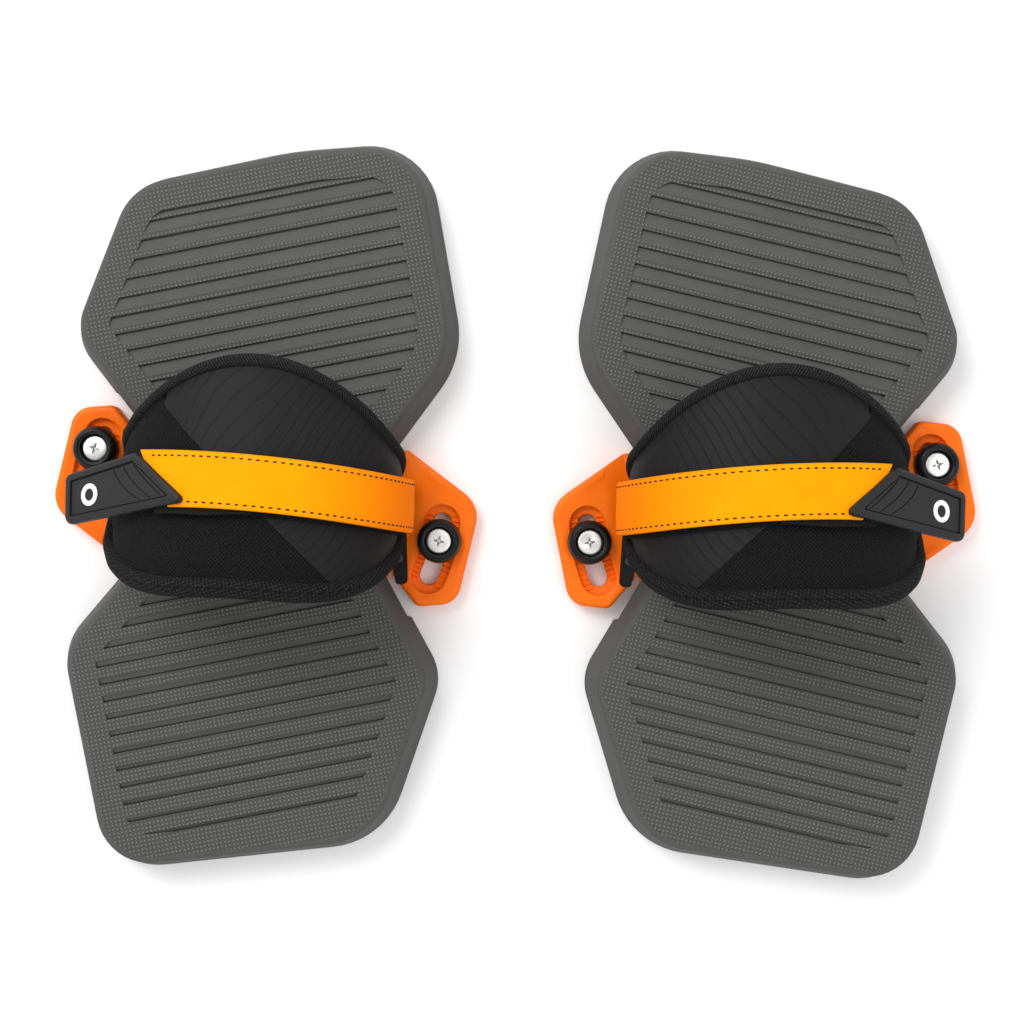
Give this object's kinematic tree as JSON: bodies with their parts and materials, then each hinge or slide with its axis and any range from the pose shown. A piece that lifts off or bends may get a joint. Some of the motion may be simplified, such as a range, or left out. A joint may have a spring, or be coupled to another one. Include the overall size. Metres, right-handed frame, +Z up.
{
  "type": "pair of kiteboard bindings",
  "caption": "Pair of kiteboard footpad bindings: grooved foam pads on slotted chassis wings, padded foot straps with peel-open closures and pull tabs",
  "frame": {"origin": "on the board's deck, under the middle of the pair's box", "axes": "+Z up from the deck, +Y towards the toes, +X from the left binding to the right one"},
  "size_m": [0.3958, 0.3172, 0.0892],
  "materials": {
    "eva_foam": "matte moulded foam with a fine dot texture",
    "orange_nylon": "satin moulded plastic",
    "black_nylon": "satin moulded plastic",
    "stainless_steel": "turned, with fine rings",
    "blackened_steel": "satin",
    "lining_knit": "fine knit",
    "strap_foam": "closed-cell foam",
    "black_mesh": "coarse woven mesh",
    "rubberised_fabric": "matte rubberised fabric with a soft embossed wave",
    "knit_tape": "thick ribbed knit",
    "loop_pile": "brushed loop pile",
    "hook_tape": "hook tape",
    "orange_webbing": "fine twill with dashed dark stitching",
    "tab_rubber": "soft matte rubber",
    "white_print": "matte white inlay"
  },
  "bodies": {
    "left_binding": {"left_footpad": "eva_foam", "left_chassis": "orange_nylon", "left_medial_anchor": "black_nylon", "left_lateral_anchor": "black_nylon", "left_anchor_screws": "blackened_steel", "left_strap_lining": "lining_knit", "left_strap_foam": "strap_foam", "left_mesh_panel": "black_mesh", "left_rubber_panel": "rubberised_fabric", "left_toe_tape": "knit_tape", "left_ankle_tape": "knit_tape", "left_loop_band": "loop_pile", "left_closure_sewn": "orange_webbing"},
    "left_closure": {"left_hook_backing": "hook_tape", "left_closure_free": "orange_webbing", "left_pull_tab": "tab_rubber", "left_tab_emblem": "white_print"},
    "left_medial_fastener": {"left_medial_washer": "black_nylon", "left_medial_screw": "stainless_steel"},
    "left_lateral_fastener": {"left_lateral_washer": "black_nylon", "left_lateral_screw": "stainless_steel"},
    "right_binding": {"right_footpad": "eva_foam", "right_chassis": "orange_nylon", "right_medial_anchor": "black_nylon", "right_lateral_anchor": "black_nylon", "right_anchor_screws": "blackened_steel", "right_strap_lining": "lining_knit", "right_strap_foam": "strap_foam", "right_mesh_panel": "black_mesh", "right_rubber_panel": "rubberised_fabric", "right_toe_tape": "knit_tape", "right_ankle_tape": "knit_tape", "right_loop_band": "loop_pile", "right_closure_sewn": "orange_webbing"},
    "right_closure": {"right_hook_backing": "hook_tape", "right_closure_free": "orange_webbing", "right_pull_tab": "tab_rubber", "right_tab_emblem": "white_print"},
    "right_medial_fastener": {"right_medial_washer": "black_nylon", "right_medial_screw": "stainless_steel"},
    "right_lateral_fastener": {"right_lateral_washer": "black_nylon", "right_lateral_screw": "stainless_steel"}
  },
  "joints": [
    {"name": "stance_slide", "type": "slide", "parent": "left_binding", "child": "right_binding", "axis": [1, 0, 0], "range_m": [0, 0.35]},
    {"name": "left_closure_peel", "type": "hinge", "parent": "left_binding", "child": "left_closure", "pos_m": [-0.1049, 0.01009, 0.08474], "axis": [0.0719, 0.9802, -0.1843], "range_deg": [0, 110]},
    {"name": "left_medial_slot", "type": "hinge", "parent": "left_binding", "child": "left_medial_fastener", "pos_m": [-0.1062, 0.00265, 0.008], "axis": [0, 0, 1], "range_deg": [-11.6, 5.8]},
    {"name": "left_lateral_slot", "type": "hinge", "parent": "left_binding", "child": "left_lateral_fastener", "pos_m": [-0.1062, 0.00265, 0.008], "axis": [0, 0, 1], "range_deg": [-4.2, 13.2]},
    {"name": "right_closure_peel", "type": "hinge", "parent": "right_binding", "child": "right_closure", "pos_m": [0.10723, 0.00624, 0.08474], "axis": [0.029, -0.9825, 0.1843], "range_deg": [0, 110]},
    {"name": "right_medial_slot", "type": "hinge", "parent": "right_binding", "child": "right_medial_fastener", "pos_m": [0.1082, -0.00125, 0.008], "axis": [0, 0, 1], "range_deg": [-5.8, 11.6]},
    {"name": "right_lateral_slot", "type": "hinge", "parent": "right_binding", "child": "right_lateral_fastener", "pos_m": [0.1082, -0.00125, 0.008], "axis": [0, 0, 1], "range_deg": [-13.2, 4.2]}
  ]
}
